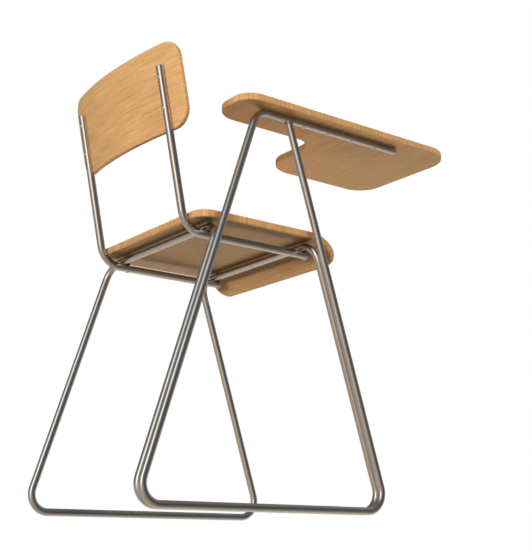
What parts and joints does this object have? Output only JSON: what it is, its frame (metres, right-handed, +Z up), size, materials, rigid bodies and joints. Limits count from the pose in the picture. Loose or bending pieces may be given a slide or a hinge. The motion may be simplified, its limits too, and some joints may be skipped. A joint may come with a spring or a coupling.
{
  "type": "student desk chair",
  "caption": "Student chair on a sled base of bent steel rod, with a plywood seat and backrest and a plywood tablet arm on the sitter's right.",
  "frame": {"origin": "on the floor, under the middle of the chair's plan", "axes": "+Z up; the sitter faces -Y; the tablet arm is on -X, the sitter's right"},
  "size_m": [0.3917, 0.634, 0.7395],
  "materials": {
    "frame_steel": "satin, bare steel with a soft streak along the rod",
    "plywood": "clear satin lacquer on light oak veneer, with the layers showing at the edges",
    "zinc_steel": "bright zinc",
    "black_plastic": "matt black"
  },
  "bodies": {
    "root": {"sled_frame_left": "frame_steel", "sled_frame_right": "frame_steel", "crossbar_butt_welds": "frame_steel", "back_rail_left": "frame_steel", "back_rail_right": "frame_steel", "tablet_frame": "frame_steel", "tablet_frame_welds": "frame_steel", "tablet_leg_weld": "frame_steel", "seat": "plywood", "backrest": "plywood", "tablet_top": "plywood", "seat_spacers": "black_plastic", "seat_screws": "zinc_steel", "seat_inserts": "zinc_steel", "backrest_screws": "zinc_steel", "backrest_inserts": "zinc_steel", "tablet_screws": "zinc_steel", "tablet_inserts": "zinc_steel"}
  },
  "joints": []
}
